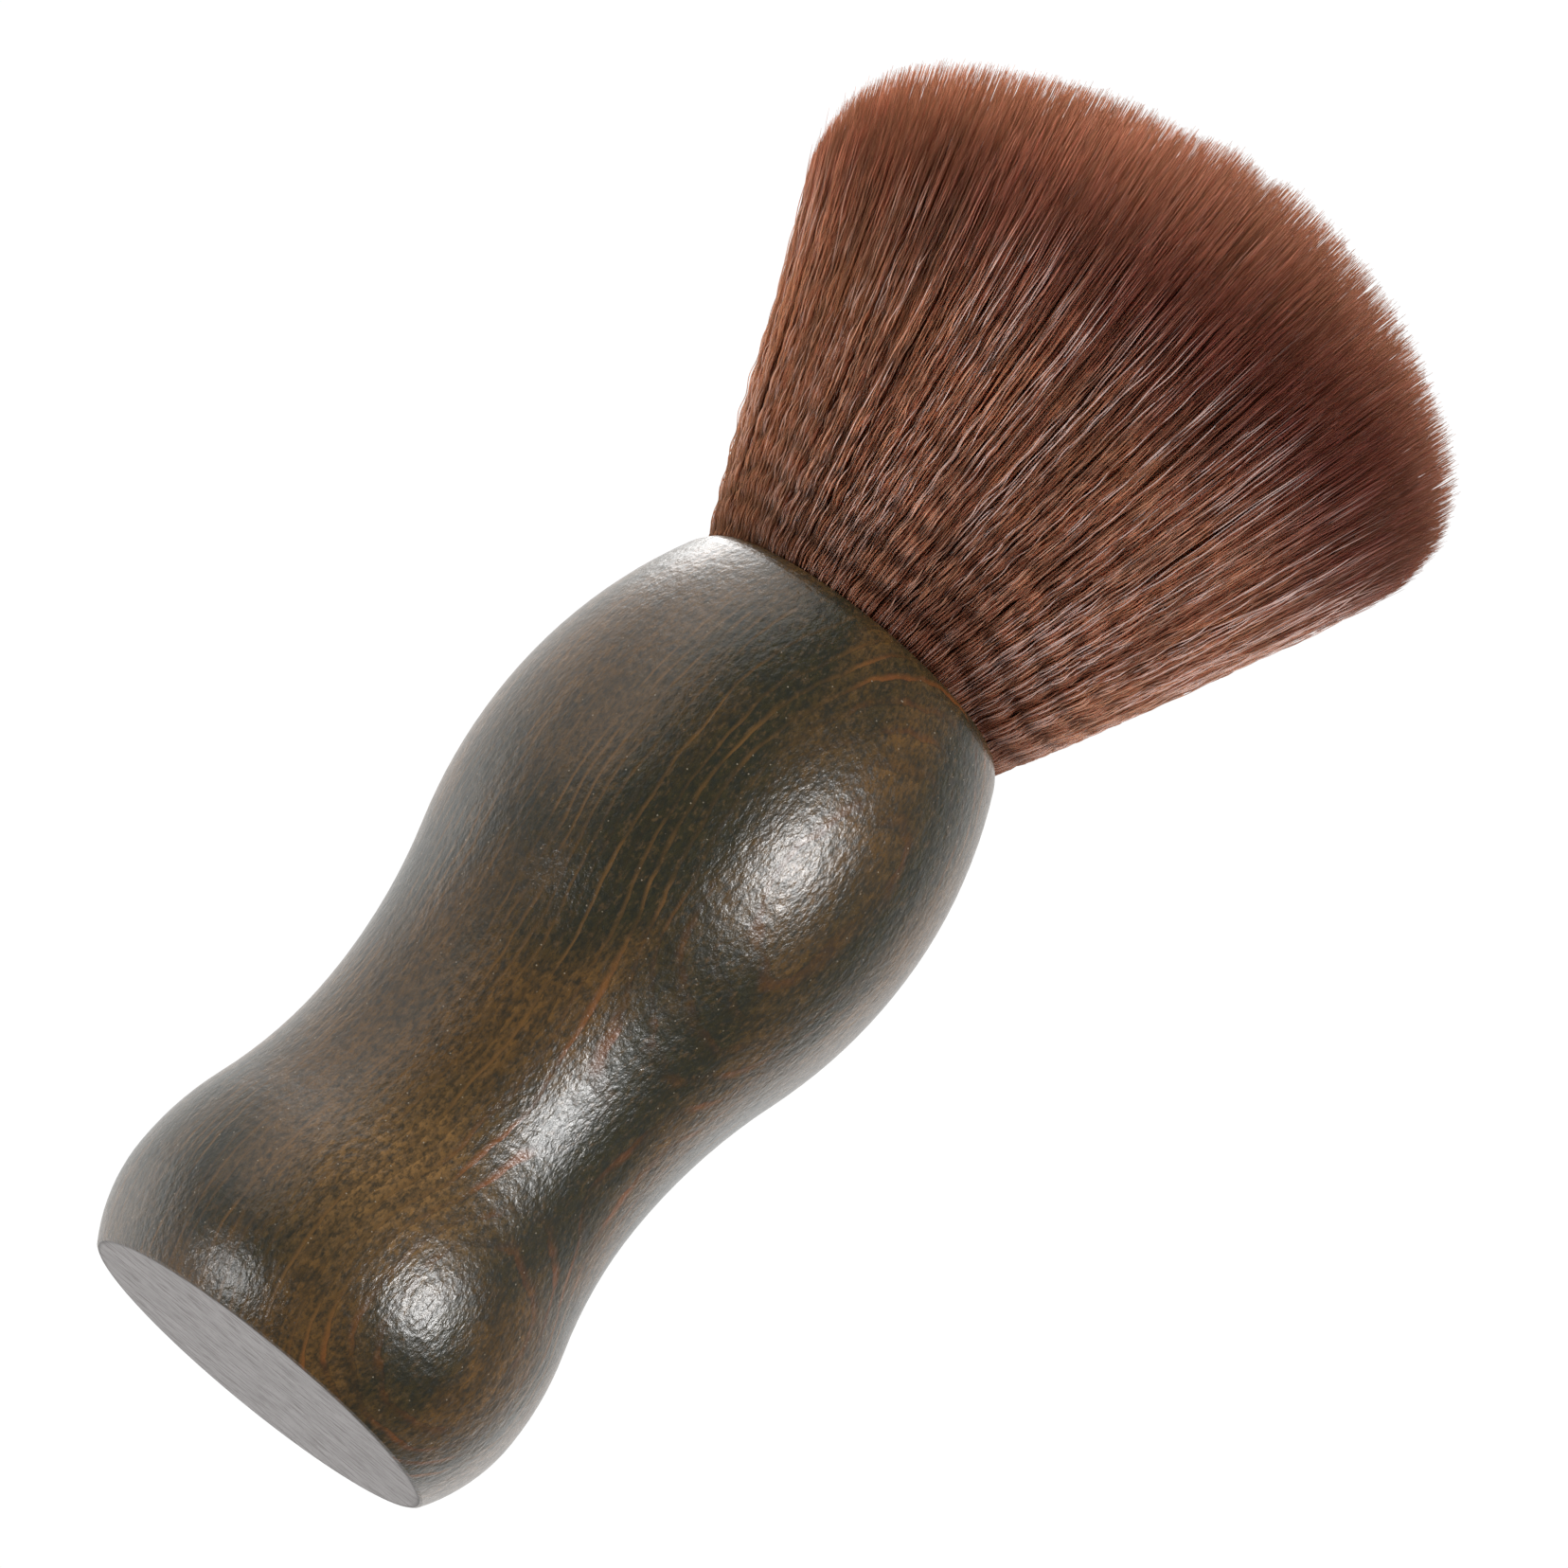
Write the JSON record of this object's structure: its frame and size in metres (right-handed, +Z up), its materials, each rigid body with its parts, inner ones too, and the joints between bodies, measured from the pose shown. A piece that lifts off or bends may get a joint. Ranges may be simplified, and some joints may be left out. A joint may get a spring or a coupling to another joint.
{
  "type": "neck duster brush",
  "caption": "Barber's neck duster: a turned, waisted wooden handle with a flat butt and a wide domed fan of soft crimped fibres that sweeps cut hair off the neck.",
  "frame": {"origin": "centre of the flat butt face that the brush stands on", "axes": "+Z up along the turned handle's axis, from the butt to the fibre tips"},
  "size_m": [0.078, 0.078, 0.165],
  "materials": {
    "stained_wood": "dark olive-brown stain under semi-gloss lacquer",
    "fibre": "fine crimped synthetic fibre, mahogany brown, satin",
    "cup_plastic": "black moulded plastic",
    "resin": "amber cast resin",
    "adhesive": "set cream adhesive",
    "thread": "waxed tying thread"
  },
  "bodies": {
    "root": {"handle": "stained_wood", "glue_bed": "adhesive", "knot_cup": "cup_plastic", "resin_plug": "resin", "binding_thread": "thread", "core_tuft": "fibre", "middle_tuft_1": "fibre", "middle_tuft_2": "fibre", "middle_tuft_3": "fibre", "middle_tuft_4": "fibre", "middle_tuft_5": "fibre", "middle_tuft_6": "fibre", "outer_tuft_1": "fibre", "outer_tuft_2": "fibre", "outer_tuft_3": "fibre", "outer_tuft_4": "fibre", "outer_tuft_5": "fibre", "outer_tuft_6": "fibre", "outer_tuft_7": "fibre", "outer_tuft_8": "fibre", "outer_tuft_9": "fibre", "outer_tuft_10": "fibre", "outer_tuft_11": "fibre", "outer_tuft_12": "fibre"}
  },
  "joints": []
}
